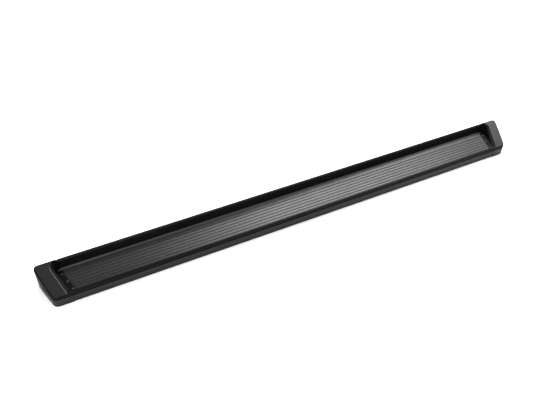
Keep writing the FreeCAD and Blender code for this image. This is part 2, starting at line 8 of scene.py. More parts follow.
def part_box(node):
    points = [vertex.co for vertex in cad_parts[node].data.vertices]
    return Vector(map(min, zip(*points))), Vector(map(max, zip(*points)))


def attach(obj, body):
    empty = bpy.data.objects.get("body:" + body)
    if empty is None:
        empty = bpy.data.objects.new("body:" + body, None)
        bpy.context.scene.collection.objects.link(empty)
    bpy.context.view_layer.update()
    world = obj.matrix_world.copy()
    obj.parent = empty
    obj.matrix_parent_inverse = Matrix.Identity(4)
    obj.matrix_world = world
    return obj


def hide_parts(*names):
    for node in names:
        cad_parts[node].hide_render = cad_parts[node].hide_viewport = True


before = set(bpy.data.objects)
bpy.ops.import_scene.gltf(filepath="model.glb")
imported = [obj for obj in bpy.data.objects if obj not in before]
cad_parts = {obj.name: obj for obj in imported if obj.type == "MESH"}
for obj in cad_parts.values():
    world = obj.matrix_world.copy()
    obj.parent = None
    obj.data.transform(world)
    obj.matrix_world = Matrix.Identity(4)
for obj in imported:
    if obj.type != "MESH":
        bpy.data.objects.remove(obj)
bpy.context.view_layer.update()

bl_info = {
    "name": "Running board",
    "version": (1, 0, 0),
    "blender": (4, 5, 0),
    "location": "3D View > Sidebar > Running Board",
    "description": "Finishes and fine detail for a pickup truck's running board",
    "category": "Object",
}

MM = 0.001
ENDS = ("left", "right")
STATIONS = ("left", "middle", "right")
ROWS = ("front", "rear")

# vertices that lie closer than this, in metres, are joined
WELD_DISTANCE = 1e-7

# the range that most of a noise pattern's values lie in
NOISE_RANGE = (0.3, 0.7)

# numbers of the Mix node's colour sockets, whose names its other sockets share
MIX_COLOURS = (6, 7)
MIX_RESULT = 2


def board_box(node):
    low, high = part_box(node)
    return Vector(low), Vector(high)


# ---------------------------------------------------------------- settings


class RunningBoardFinish(bpy.types.PropertyGroup):
    """Colours of the board's materials"""

    coat: bpy.props.FloatVectorProperty(
        name="Powder coat",
        description="Colour of the coated deck",
        subtype="COLOR",
        size=3,
        min=0,
        max=1,
        default=(0.003, 0.003, 0.0032),
    )
    cap_top: bpy.props.FloatVectorProperty(
        name="Cap tops",
        description="Colour of the sloping tops of the end caps",
        subtype="COLOR",
        size=3,
        min=0,
        max=1,
        default=(0.009, 0.009, 0.009),
    )
    # Painted light: this much lighter colour on the ledge strip behind the pad stands in for light falling
    # there, not for scuffs.
    painted_ledge_light: bpy.props.FloatVectorProperty(
        name="Scuffed coat",
        description="Colour of the coat where feet rub it",
        subtype="COLOR",
        size=3,
        min=0,
        max=1,
        default=(0.07, 0.07, 0.07),
    )
    tread: bpy.props.FloatVectorProperty(
        name="Tread",
        description="Colour of the ribbed step pad",
        subtype="COLOR",
        size=3,
        min=0,
        max=1,
        default=(0.012, 0.012, 0.0123),
    )
    plastic: bpy.props.FloatVectorProperty(
        name="Moulded plastic",
        description="Colour of the front skirt and of the end caps below their tops",
        subtype="COLOR",
        size=3,
        min=0,
        max=1,
        default=(0.009, 0.009, 0.0093),
    )
    rubber: bpy.props.FloatVectorProperty(
        name="Edge trim",
        description="Colour of the soft strip on the back wall",
        subtype="COLOR",
        size=3,
        min=0,
        max=1,
        default=(0.0035, 0.0035, 0.0035),
    )
    zinc: bpy.props.FloatVectorProperty(
        name="Zinc plate",
        description="Colour of the plated bolts, plates and nuts",
        subtype="COLOR",
        size=3,
        min=0,
        max=1,
        default=(0.56, 0.565, 0.58),
    )


class RunningBoardSizes(bpy.types.PropertyGroup):
    """Sizes of the detail that the frame leaves plain"""

    ledge_width: bpy.props.FloatProperty(
        name="Ledge width",
        description="Smooth strip between the pad and the back wall",
        default=10.5 * MM,
        precision=5,
    )
    cap_front: bpy.props.FloatProperty(
        name="Cap front",
        description="Height at which the caps' sloping top starts at the front",
        default=52 * MM,
        precision=5,
    )
    cap_slope: bpy.props.FloatProperty(
        name="Cap slope",
        description="Rise of the caps' top for each metre towards the back",
        default=0.378,
        precision=4,
    )
    rib_pitch: bpy.props.FloatProperty(
        name="Rib pitch",
        description="Distance from one tread rib to the next",
        subtype="DISTANCE",
        default=16.2 * MM,
    )
    groove_width: bpy.props.FloatProperty(
        name="Groove width",
        description="Gap between two tread ribs",
        subtype="DISTANCE",
        default=4.2 * MM,
    )
    first_rib: bpy.props.FloatProperty(
        name="First rib",
        description="Width of the rib next to the nose",
        subtype="DISTANCE",
        default=9.2 * MM,
    )
    middle_ribs: bpy.props.IntProperty(
        name="Middle ribs",
        description="Number of equal ribs between the first and the last",
        default=5,
        min=1,
        max=12,
    )
    rib_height: bpy.props.FloatProperty(
        name="Rib height",
        description="Height of the ribs above the pad's base",
        subtype="DISTANCE",
        default=1.5 * MM,
    )
    rib_margin: bpy.props.FloatProperty(
        name="Rib margin",
        description="Plain base left past the ribs' ends",
        subtype="DISTANCE",
        default=5.0 * MM,
    )
    end_rake: bpy.props.FloatProperty(
        name="End rake",
        description="How far the board's ends run outwards for each metre across it",
        default=1 / 3,
    )
    ridge_pitch: bpy.props.FloatProperty(
        name="Grip ridge pitch",
        description="Distance between the fine grip lines on a rib",
        subtype="DISTANCE",
        default=1.5 * MM,
    )
    thread_pitch: bpy.props.FloatProperty(
        name="Thread pitch",
        description="Pitch of the bracket bolts' thread",
        subtype="DISTANCE",
        default=1.25 * MM,
    )
    socket: bpy.props.FloatProperty(
        name="Socket",
        description="Distance across the flats of the cap screws' hexagon sockets",
        subtype="DISTANCE",
        default=3.2 * MM,
    )


class RunningBoardStage(bpy.types.PropertyGroup):
    """Floor, light and camera"""

    lens: bpy.props.FloatProperty(
        name="Lens",
        description="Focal length of the camera",
        subtype="DISTANCE_CAMERA",
        unit="CAMERA",
        default=35.46,
    )
    camera_place: bpy.props.FloatVectorProperty(
        name="Camera place",
        description="Where the camera stands",
        subtype="TRANSLATION",
        size=3,
        default=(-0.8527, -1.4511, 1.7009),
    )
    camera_turn: bpy.props.FloatProperty(
        name="Camera turn",
        description="Direction that the camera looks in, turned from the board's length",
        subtype="ANGLE",
        default=radians(65.12),
    )
    camera_tilt: bpy.props.FloatProperty(
        name="Camera tilt",
        description="How far the camera looks down",
        subtype="ANGLE",
        default=radians(44.54),
    )
    framing: bpy.props.FloatVectorProperty(
        name="Framing",
        description="Sideways and upward shift of the picture, as shares of its width",
        size=2,
        default=(-0.00094, 0.00094),
    )
    key_place: bpy.props.FloatVectorProperty(
        name="Main light place",
        description="Where the main softbox hangs",
        subtype="TRANSLATION",
        size=3,
        default=(1.45, 1.4, 2.6),
    )
    key_size: bpy.props.FloatVectorProperty(
        name="Main light size",
        description="Width and height of the main softbox",
        subtype="TRANSLATION",
        size=2,
        default=(3.3, 1.3),
    )
    key_power: bpy.props.FloatProperty(
        name="Main light power",
        description="Power of the main softbox",
        default=300.0,
    )
    side_place: bpy.props.FloatVectorProperty(
        name="Side light place",
        description="Where the fill light at the left-hand front stands",
        subtype="TRANSLATION",
        size=3,
        default=(-2.1, -1.5, 1.0),
    )
    side_aim: bpy.props.FloatVectorProperty(
        name="Side light aim",
        description="The point on the ground that the fill light faces",
        subtype="TRANSLATION",
        size=3,
        default=(-0.9, 0, 0),
    )
    side_size: bpy.props.FloatVectorProperty(
        name="Side light size",
        description="Width and height of the side softbox",
        subtype="TRANSLATION",
        size=2,
        default=(0.8, 0.8),
    )
    side_power: bpy.props.FloatProperty(
        name="Side light power",
        description="Power of the side softbox",
        default=18.0,
    )
    room: bpy.props.FloatProperty(
        name="Room light",
        description="Strength of the even, shadowless light from all round",
        default=1.3,
    )
    floor: bpy.props.FloatVectorProperty(
        name="Floor",
        description="Colour of the floor",
        subtype="COLOR",
        size=3,
        min=0,
        max=1,
        default=(0.9, 0.9, 0.9),
    )


# ---------------------------------------------------------------- materials


def new_node(tree, kind, inputs=None, **settings):
    """Adds a node with its settings and the values of its unlinked inputs."""
    node = tree.nodes.new(kind)
    for name, value in settings.items():
        setattr(node, name, value)
    for name, value in (inputs or {}).items():
        node.inputs[name].default_value = value
    return node


def pattern(tree, stretch=(1, 1, 1)):
    """Object coordinates, stretched along the board where a pattern needs it."""
    place = new_node(tree, "ShaderNodeTexCoord")
    mapping = new_node(tree, "ShaderNodeMapping", {"Scale": stretch})
    tree.links.new(place.outputs["Object"], mapping.inputs["Vector"])
    return mapping.outputs["Vector"]


def noise(tree, scale, detail=3, roughness=0.5, stretch=(1, 1, 1)):
    """Cloudy pattern with about scale cells to the metre."""
    node = new_node(tree, "ShaderNodeTexNoise", {"Scale": scale, "Detail": detail, "Roughness": roughness})
    tree.links.new(pattern(tree, stretch), node.inputs["Vector"])
    return node.outputs["Fac"]


def cells(tree, scale):
    """Rounded cells, about scale of them to the metre."""
    node = new_node(tree, "ShaderNodeTexVoronoi", {"Scale": scale}, feature="SMOOTH_F1")
    tree.links.new(pattern(tree), node.inputs["Vector"])
    return node.outputs["Distance"]


def remap(tree, value, low, high, to_low, to_high):
    """Moves low to to_low and high to to_high, and holds the value between them."""
    node = new_node(
        tree,
        "ShaderNodeMapRange",
        {"From Min": low, "From Max": high, "To Min": to_low, "To Max": to_high},
    )
    tree.links.new(value, node.inputs["Value"])
    return node.outputs["Result"]


def math(tree, operation, first, second):
    """One sum on two values, each a number or the output of another node."""
    node = new_node(tree, "ShaderNodeMath", operation=operation)
    for index, value in enumerate((first, second)):
        if isinstance(value, (int, float)):
            node.inputs[index].default_value = value
        else:
            tree.links.new(value, node.inputs[index])
    return node.outputs["Value"]


def spread(tree, noise_value, low, high):
    """Stretches a noise pattern's usual range over low to high."""
    return remap(tree, noise_value, *NOISE_RANGE, low, high)


def blend_colours(tree, factor, first, second):
    """Mixes two colours, each a plain colour or the output of another node."""
    node = new_node(tree, "ShaderNodeMix", data_type="RGBA")
    tree.links.new(factor, node.inputs["Factor"])
    for index, colour in zip(MIX_COLOURS, (first, second)):
        if isinstance(colour, bpy.types.NodeSocket):
            tree.links.new(colour, node.inputs[index])
        else:
            node.inputs[index].default_value = (*colour, 1)
    return node.outputs[MIX_RESULT]


def bumps(tree, shader, layers):
    """Stacks bump layers of (height, distance in metres, strength) on the shader's normal."""
    normal = None
    for height, distance, strength in layers:
        node = new_node(tree, "ShaderNodeBump", {"Strength": strength, "Distance": distance})
        tree.links.new(height, node.inputs["Height"])
        if normal is not None:
            tree.links.new(normal, node.inputs["Normal"])
        normal = node.outputs["Normal"]
    tree.links.new(normal, shader.inputs["Normal"])


def start_material(name, **values):
    """New material and its shader, with the values that are the same all over."""
    material = bpy.data.materials.new(name)
    material.use_nodes = True
    shader = material.node_tree.nodes["Principled BSDF"]
    for socket, value in values.items():
        shader.inputs[socket.replace("_", " ")].default_value = value
    return material, material.node_tree, shader


def add_roughness(tree, shader, base, variation):
    """Roughness as the sum of a base pattern and a finer variation."""
    tree.links.new(math(tree, "ADD", base, variation), shader.inputs["Roughness"])


def scaled(colour, factor):
    """The same colour, lighter or darker by a factor."""
    return tuple(min(1.0, channel * factor) for channel in colour)


def object_place(tree):
    """X, Y and Z of the object's own space."""
    place = new_node(tree, "ShaderNodeTexCoord")
    parts = new_node(tree, "ShaderNodeSeparateXYZ")
    tree.links.new(place.outputs["Object"], parts.inputs["Vector"])
    return parts.outputs["X"], parts.outputs["Y"], parts.outputs["Z"]


def within(tree, value, centre, reach):
    """1 where a value lies within reach of the centre, falling to 0 over the next millimetre."""
    away = math(tree, "ABSOLUTE", math(tree, "SUBTRACT", value, centre), 0)
    return remap(tree, away, reach, reach + 1 * MM, 1, 0)


def powder_coat(colour, painted_ledge_light, ledge_height, ledge_front, ledge_width):
    """Satin powder coat with faint die lines and rubs; the ledge strip behind the pad is painted lighter, a
    painted pool of light.
    """
    material, tree, shader = start_material("powder_coat", Specular_IOR_Level=0.03, Coat_Roughness=0.4)
    upper_sheen = 0.2
    sheen_fade = 5 * MM
    ledge_band = 0.3 * MM
    peel = noise(tree, 900, 2)
    lines = noise(tree, 260, 2, stretch=(0.006, 1, 1))
    rubs = noise(tree, 16, 4, 0.6, stretch=(0.25, 1, 1))
    _, depth, height = object_place(tree)
    sheen = remap(tree, height, ledge_height - sheen_fade, ledge_height, 0, upper_sheen)
    tree.links.new(sheen, shader.inputs["Coat Weight"])
    # Painted light: the flat strip behind the pad, mottled by the rubs pattern, takes the lighter ledge
    # colour.
    flat = within(tree, height, ledge_height, ledge_band)
    strip = within(tree, depth, ledge_front + ledge_width / 2, ledge_width / 2)
    ledge = math(tree, "MULTIPLY", flat, strip)
    ledge = math(tree, "MULTIPLY", ledge, spread(tree, rubs, 0.75, 1.0))
    coat = blend_colours(tree, remap(tree, rubs, 0.35, 0.7, 0, 1), colour, scaled(colour, 1.7))
    tree.links.new(blend_colours(tree, ledge, coat, painted_ledge_light), shader.inputs["Base Color"])
    base = remap(tree, rubs, 0.3, 0.75, 0.34, 0.46)
    add_roughness(tree, shader, base, spread(tree, lines, -0.03, 0.03))
    bumps(tree, shader, [(lines, 0.00012, 0.35), (peel, 0.0001, 0.5)])
    return material


def tread_elastomer(colour, groove_height, crest_height):
    """Ribbed pad: fine grain, smoother crests lightened with streaks as a painted highlight, and rougher
    grooves darkened as painted shade.
    """
    material, tree, shader = start_material("tread_elastomer", Specular_IOR_Level=0.5)
    grain = noise(tree, 1600, 3)
    streak = noise(tree, 45, 3, 0.6, stretch=(0.05, 1, 1))
    patches = noise(tree, 7, 3, 0.55)
    _, _, height = object_place(tree)
    # Painted shade and highlight: the grooves take a fifth of the colour, and the streaked crests up to a
    # quarter more.
    crest = remap(tree, height, groove_height, crest_height, 0, 1)
    worn = math(tree, "MULTIPLY", crest, spread(tree, streak, 0.6, 1.0))
    tint = blend_colours(tree, worn, scaled(colour, 0.2), scaled(colour, 1.25))
    tree.links.new(tint, shader.inputs["Base Color"])
    base = remap(tree, crest, 0, 1, 0.85, 0.38)
    add_roughness(tree, shader, base, spread(tree, patches, -0.03, 0.03))
    bumps(tree, shader, [(grain, 0.00015, 0.5)])
    return material


def moulding_patterns(tree):
    """Leather-like grain, a finer grain and the slow flow marks of moulded plastic."""
    return cells(tree, 750), noise(tree, 1500, 2), noise(tree, 11, 4, 0.6)


def moulding_bumps(tree, shader, grain, fine):
    """Relief of both grains on moulded plastic."""
    bumps(tree, shader, [(grain, 0.0003, 0.55), (fine, 0.0001, 0.4)])


def skirt_plastic(colour):
    """Moulded black plastic with a fine grain and slight flow marks."""
    material, tree, shader = start_material("skirt_plastic", Specular_IOR_Level=0.15)
    grain, fine, flow = moulding_patterns(tree)
    tint = blend_colours(tree, spread(tree, flow, 0, 1), scaled(colour, 0.85), scaled(colour, 1.2))
    tree.links.new(tint, shader.inputs["Base Color"])
    base = spread(tree, flow, 0.42, 0.52)
    add_roughness(tree, shader, base, spread(tree, fine, -0.04, 0.04))
    moulding_bumps(tree, shader, grain, fine)
    return material


def cap_plastic(colour, top_colour, top_plane, skirt_height):
    """Fine-grained plastic with a sheen on the sloping top and the skirt; between them the colour is cut to
    a quarter as painted shade.
    """
    material, tree, shader = start_material("cap_plastic", Specular_IOR_Level=0.06, Coat_Roughness=0.4)
    top_sheen = 0.8
    skirt_sheen = 0.16
    top_fade = (-1.1 * MM, -0.4 * MM)
    skirt_fade = 1 * MM
    grain, fine, flow = moulding_patterns(tree)
    front, front_height, slope = top_plane
    _, depth, height = object_place(tree)
    rise = math(tree, "MULTIPLY", math(tree, "SUBTRACT", depth, front), slope)
    above = math(tree, "SUBTRACT", math(tree, "SUBTRACT", height, rise), front_height)
    top = remap(tree, above, *top_fade, 0, 1)
    skirt = remap(tree, height, skirt_height + skirt_fade, skirt_height, 0, 1)
    marks = spread(tree, flow, 0.85, 1.2)
    # Painted shade: the faces between the skirt and the sloping top, the recess walls among them, take a
    # quarter of the colour.
    lower = blend_colours(tree, skirt, scaled(colour, 0.25), colour)
    tint = blend_colours(tree, top, lower, top_colour)
    marked = new_node(tree, "ShaderNodeVectorMath", operation="SCALE")
    tree.links.new(tint, marked.inputs[0])
    tree.links.new(marks, marked.inputs["Scale"])
    tree.links.new(marked.outputs["Vector"], shader.inputs["Base Color"])
    polished = math(tree, "MAXIMUM", top, skirt)
    top_gloss = math(tree, "MULTIPLY", top, top_sheen)
    skirt_gloss = math(tree, "MULTIPLY", skirt, skirt_sheen)
    tree.links.new(math(tree, "ADD", top_gloss, skirt_gloss), shader.inputs["Coat Weight"])
    base = remap(tree, polished, 0, 1, 0.62, 0.42)
    add_roughness(tree, shader, base, spread(tree, fine, -0.04, 0.04))
    moulding_bumps(tree, shader, grain, fine)
    return material


def soft_rubber(colour):
    """Matt extruded rubber with fine drag lines along its length."""
    material, tree, shader = start_material("soft_rubber", Specular_IOR_Level=0.4)
    drag = noise(tree, 500, 3, stretch=(0.01, 1, 1))
    bloom = noise(tree, 30, 3)
    tint = blend_colours(tree, remap(tree, bloom, 0.35, 0.7, 0, 1), colour, scaled(colour, 1.6))
    tree.links.new(tint, shader.inputs["Base Color"])
    tree.links.new(spread(tree, bloom, 0.55, 0.7), shader.inputs["Roughness"])
    bumps(tree, shader, [(drag, 0.0001, 0.4)])
    return material


def black_oxide():
    """Blackened steel screws, worn lighter in places."""
    material, tree, shader = start_material("black_oxide", Metallic=0.85, Specular_IOR_Level=0.5)
    black = (0.03, 0.03, 0.032)
    bare_steel = (0.16, 0.155, 0.15)
    worn = noise(tree, 420, 3, 0.6)
    tint = blend_colours(tree, remap(tree, worn, 0.45, 0.75, 0, 1), black, bare_steel)
    tree.links.new(tint, shader.inputs["Base Color"])
    tree.links.new(spread(tree, worn, 0.3, 0.5), shader.inputs["Roughness"])
    bumps(tree, shader, [(noise(tree, 2500, 2), 0.00004, 0.5)])
    return material


def zinc_plate(colour):
    """Bright zinc plating with cloudy passivation and fine tool marks."""
    material, tree, shader = start_material("zinc_plate", Metallic=1.0)
    cloud = noise(tree, 150, 4, 0.6)
    marks = noise(tree, 1800, 2)
    warm = (colour[0] * 0.86, colour[1] * 0.84, colour[2] * 0.74)
    tint = blend_colours(tree, remap(tree, cloud, 0.35, 0.7, 0, 1), colour, warm)
    tree.links.new(tint, shader.inputs["Base Color"])
    tree.links.new(spread(tree, cloud, 0.24, 0.42), shader.inputs["Roughness"])
    bumps(tree, shader, [(marks, 0.00004, 0.4)])
    return material


def moulded_nylon():
    """Black nylon with a slight satin bloom."""
    material, tree, shader = start_material("moulded_nylon", Specular_IOR_Level=0.5)
    black = (0.018, 0.018, 0.019)
    dulled = (0.032, 0.032, 0.033)
    bloom = noise(tree, 220, 3)
    tint = blend_colours(tree, spread(tree, bloom, 0, 1), black, dulled)
    tree.links.new(tint, shader.inputs["Base Color"])
    tree.links.new(spread(tree, bloom, 0.38, 0.5), shader.inputs["Roughness"])
    bumps(tree, shader, [(noise(tree, 1200, 2), 0.00006, 0.4)])
    return material


def studio_floor(colour):
    """Pale matt floor with a faint, even mottle."""
    material, tree, shader = start_material("studio_floor", Roughness=1.0, Specular_IOR_Level=0.0)
    mottle = noise(tree, 3, 2)
    tint = blend_colours(tree, mottle, scaled(colour, 0.995), colour)
    tree.links.new(tint, shader.inputs["Base Color"])
    return material


def settings(context):
    scene = context.scene
    return scene.running_board_finish, scene.running_board_sizes, scene.running_board_stage


def coat_nodes(names, material):
    """Gives the frame's own parts a better material."""
    for name in names:
        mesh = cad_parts[name].data
        if not mesh.materials:
            mesh.materials.append(material)
        for index in range(len(mesh.materials)):
            mesh.materials[index] = material


# ---------------------------------------------------------------- mesh helpers


def finish_mesh(name, build, material):
    """Mesh object at the origin, made by a function that fills a bmesh."""
    mesh = bpy.data.meshes.new(name)
    work = bmesh.new()
    build(work)
    bmesh.ops.remove_doubles(work, verts=work.verts, dist=WELD_DISTANCE)
    bmesh.ops.recalc_face_normals(work, faces=work.faces)
    work.to_mesh(mesh)
    work.free()
    mesh.materials.append(material)
    piece = bpy.data.objects.new(name, mesh)
    bpy.context.scene.collection.objects.link(piece)
    return piece


def shade_smooth(piece, angle=radians(35)):
    """Smooth shading with the creases kept sharp."""
    mesh = piece.data
    mesh.shade_smooth()
    mesh.set_sharp_from_angle(angle=angle)


def swept_bar(work, profile, half_length):
    """Closed bar along X; each (y, z, inset) point of its profile stops that far short of the ends."""
    rings = []
    for side in (-1, 1):
        ring = []
        for y, z, inset in profile:
            ring.append(work.verts.new((side * (half_length - inset), y, z)))
        rings.append(ring)
    left, right = rings
    count = len(profile)
    for index in range(count):
        after = (index + 1) % count
        work.faces.new((left[index], left[after], right[after], right[index]))
    work.faces.new(list(reversed(left)))
    work.faces.new(right)


def rib_profile(width, height, base, ridge_pitch):
    """Rib section from y = 0 to width: eased edges and fine grip lines on a crowned top."""
    ease = 0.5 * MM
    draft = 0.45 * MM
    line_depth = 0.16 * MM
    crown = 0.12 * MM
    sink = 0.3 * MM
    side_inset = 0.4 * MM
    top_inset = 0.7 * MM
    top = base + height
    points = [(0, base - sink, 0), (0, base, 0), (draft, top - ease, side_inset)]
    flat = width - 2 * (draft + ease)
    lines = max(3, round(flat / ridge_pitch))
    step = flat / lines
    for index in range(lines):
        for share, sunk in ((0.0, 1), (0.25, 0), (0.75, 0)):
            along = index * step + share * step
            across = 2 * along / flat - 1
            z = top - crown * across * across - sunk * line_depth
            if index == 0 and sunk:
                z = top - crown
            points.append((draft + ease + along, z, top_inset))
    points.append((width - draft - ease, top - crown, top_inset))
    points.append((width - draft, top - ease, side_inset))
    points += [(width, base, 0), (width, base - sink, 0)]
    return points


def hexagon_radius(angle, flats):
    """Radius of a hexagon, with the given distance across its flats, in one direction."""
    part = (angle + pi / 6) % (pi / 3) - pi / 6
    return flats / 2 / cos(part)


def dome_ball(radius, rise):
    """Radius of the ball whose cap has the given radius at its foot and the given rise."""
    return (radius ** 2 + rise ** 2) / (2 * rise)


def lathe(work, rings, segments):
    """Joins rings of (radius or function of the angle, z) into a closed skin round Z."""
    made = []
    for radius, z in rings:
        ring = []
        for index in range(segments):
            angle = tau * index / segments
            reach = radius(angle) if callable(radius) else radius
            ring.append(work.verts.new((reach * cos(angle), reach * sin(angle), z)))
        made.append(ring)
    for lower, upper in zip(made, made[1:]):
        for index in range(segments):
            after = (index + 1) % segments
            work.faces.new((lower[index], lower[after], upper[after], upper[index]))
    work.faces.new(list(reversed(made[0])))
    work.faces.new(made[-1])


def socket_screw(work, head_radius, head_height, shank_radius, shank_length, flats):
    """Button-head screw: seat at z = 0, head above it, a hexagon socket in the dome."""
    segments = 48
    steps = 7
    tip_share = 0.8
    tip_length = 0.5 * MM
    rim = 0.35 * MM
    seat_radius = head_radius - rim * 0.3
    socket_depth = head_height * 0.62
    socket_land = flats / 2 * 1.25
    chamfer = 0.08 * MM
    chamfer_top = 0.02 * MM
    chamfer_foot = 0.15 * MM
    ball = dome_ball(head_radius, head_height)
    rings = [(shank_radius * tip_share, -shank_length), (shank_radius, -shank_length + tip_length)]
    rings += [(shank_radius, 0.0), (seat_radius, 0.0), (head_radius, rim * 0.5)]
    for index in range(steps + 1):
        radius = seat_radius - (seat_radius - socket_land) * index / steps
        z = head_height - ball + sqrt(ball ** 2 - radius ** 2)
        rings.append((radius, max(z, rim)))
    top = rings[-1][1]
    rings.append((lambda angle: hexagon_radius(angle, flats) + chamfer, top - chamfer_top))
    rings.append((lambda angle: hexagon_radius(angle, flats), top - chamfer_foot))
    rings.append((lambda angle: hexagon_radius(angle, flats), top - socket_depth))
    lathe(work, rings, segments)


def threaded_bolt(work, place, heights, radii, pitch):
    """Carriage bolt: domed head, square neck, plain shank and a rolled thread down to the tip."""
    tip, thread_top, neck_low, neck_high, head_top = heights
    thread_radius, shank_radius, neck_half, head_radius = radii
    segments = 32
    rings_per_turn = 6
    ring_step = pitch / rings_per_turn
    groove = 0.61 * pitch
    crest_flat = 1.25
    run_in = 1.2 * MM
    run_out = 0.8 * MM
    chamfer_width = 0.2 * MM
    chamfer_height = 0.25 * MM
    neck_rounding = 1.32
    neck_step = 0.05 * MM
    edge_width = 0.15 * MM
    edge_height = 0.25 * MM
    crown_foot = 0.3 * MM
    crown_flat = 0.3 * MM
    rings = [(thread_radius - groove - chamfer_width, tip)]
    z = tip + chamfer_height

    def thread(height):
        def radius(angle):
            phase = ((height / pitch) - angle / tau) % 1.0
            wave = abs(2 * phase - 1)
            crest = min(1.0, wave * crest_flat)
            entry = min(1.0, max(0.0, (height - tip) / run_in))
            leave = min(1.0, max(0.0, (thread_top - height) / run_out))
            return thread_radius - groove * (1 - crest * entry * leave)

        return radius

    while z < thread_top - ring_step:
        rings.append((thread(z), z))
        z += ring_step
    rings.append((shank_radius, thread_top))
    rings.append((shank_radius, neck_low))

    def square(angle):
        part = (angle + pi / 4) % (pi / 2) - pi / 4
        return min(neck_half / cos(part), neck_half * neck_rounding)

    rings += [(square, neck_low + neck_step), (square, neck_high)]
    rings.append((head_radius - edge_width, neck_high))
    rings.append((head_radius, neck_high + edge_height))
    ball = dome_ball(head_radius, head_top - neck_high)
    steps = 8
    for index in range(1, steps):
        radius = head_radius * cos(pi / 2 * index / steps)
        height = head_top - ball + sqrt(ball ** 2 - radius ** 2)
        rings.append((radius, max(height, neck_high + crown_foot)))
    rings.append((crown_flat, head_top))
    lathe(work, rings, segments)
    bmesh.ops.translate(work, verts=work.verts, vec=place)


# ---------------------------------------------------------------- geometry nodes


def tree_with_inputs(name, inputs):
    """Empty geometry node tree with a geometry in, a geometry out and named inputs."""
    tree = bpy.data.node_groups.new(name, "GeometryNodeTree")
    tree.interface.new_socket("Geometry", in_out="INPUT", socket_type="NodeSocketGeometry")
    tree.interface.new_socket("Geometry", in_out="OUTPUT", socket_type="NodeSocketGeometry")
    for label, kind in inputs:
        tree.interface.new_socket(label, in_out="INPUT", socket_type=kind)
    return tree, tree.nodes.new("NodeGroupInput"), tree.nodes.new("NodeGroupOutput")


def apply_tree(piece, tree, values):
    """Runs a node tree on a piece with the given inputs and keeps the result as a plain mesh."""
    modifier = piece.modifiers.new(tree.name, "NODES")
    modifier.node_group = tree
    for item in tree.interface.items_tree:
        if item.item_type == "SOCKET" and item.in_out == "INPUT" and item.name in values:
            modifier[item.identifier] = values[item.name]
    graph = bpy.context.evaluated_depsgraph_get()
    mesh = bpy.data.meshes.new_from_object(piece.evaluated_get(graph))
    old = piece.data
    piece.modifiers.remove(modifier)
    mesh.name = piece.name
    piece.data = mesh
    bpy.data.meshes.remove(old)


def row_tree(name):
    """Copies of the piece along a straight row, plus a mirrored row at the board's other end."""
    tree, group_in, group_out = tree_with_inputs(
        name,
        [
            ("Count", "NodeSocketInt"),
            ("Start", "NodeSocketVector"),
            ("Step", "NodeSocketVector"),
            ("Both Ends", "NodeSocketBool"),
            ("Material", "NodeSocketMaterial"),
        ],
    )
    link = tree.links.new
    rows = []
    for flip in (False, True):
        ends = []
        for label in ("Start", "Step"):
            if not flip:
                ends.append(group_in.outputs[label])
                continue
            mirror = new_node(tree, "ShaderNodeVectorMath", operation="MULTIPLY")
            mirror.inputs[1].default_value = (-1, 1, 1)
            link(group_in.outputs[label], mirror.inputs[0])
            ends.append(mirror.outputs["Vector"])
        line = new_node(tree, "GeometryNodeMeshLine", mode="OFFSET")
        link(group_in.outputs["Count"], line.inputs["Count"])
        link(ends[0], line.inputs["Start Location"])
        link(ends[1], line.inputs["Offset"])
        rows.append(line.outputs["Mesh"])
    second = new_node(tree, "GeometryNodeSwitch", input_type="GEOMETRY")
    link(group_in.outputs["Both Ends"], second.inputs["Switch"])
    link(rows[1], second.inputs["True"])
    joined = new_node(tree, "GeometryNodeJoinGeometry")
    link(rows[0], joined.inputs["Geometry"])
    link(second.outputs["Output"], joined.inputs["Geometry"])
    copies = new_node(tree, "GeometryNodeInstanceOnPoints")
    link(joined.outputs["Geometry"], copies.inputs["Points"])
    link(group_in.outputs["Geometry"], copies.inputs["Instance"])
    realize = new_node(tree, "GeometryNodeRealizeInstances")
    link(copies.outputs["Instances"], realize.inputs["Geometry"])
    finish = new_node(tree, "GeometryNodeSetMaterial")
    link(realize.outputs["Geometry"], finish.inputs["Geometry"])
    link(group_in.outputs["Material"], finish.inputs["Material"])
    link(finish.outputs["Geometry"], group_out.inputs["Geometry"])
    return tree


def copy_in_rows(piece, tree, count, start, step, both_ends, material):
    """Copies a piece along a row and, where asked, along its mirror image at the board's other end."""
    values = {
        "Count": count,
        "Start": start,
        "Step": step,
        "Both Ends": both_ends,
        "Material": material,
    }
    apply_tree(piece, tree, values)
    shade_smooth(piece)


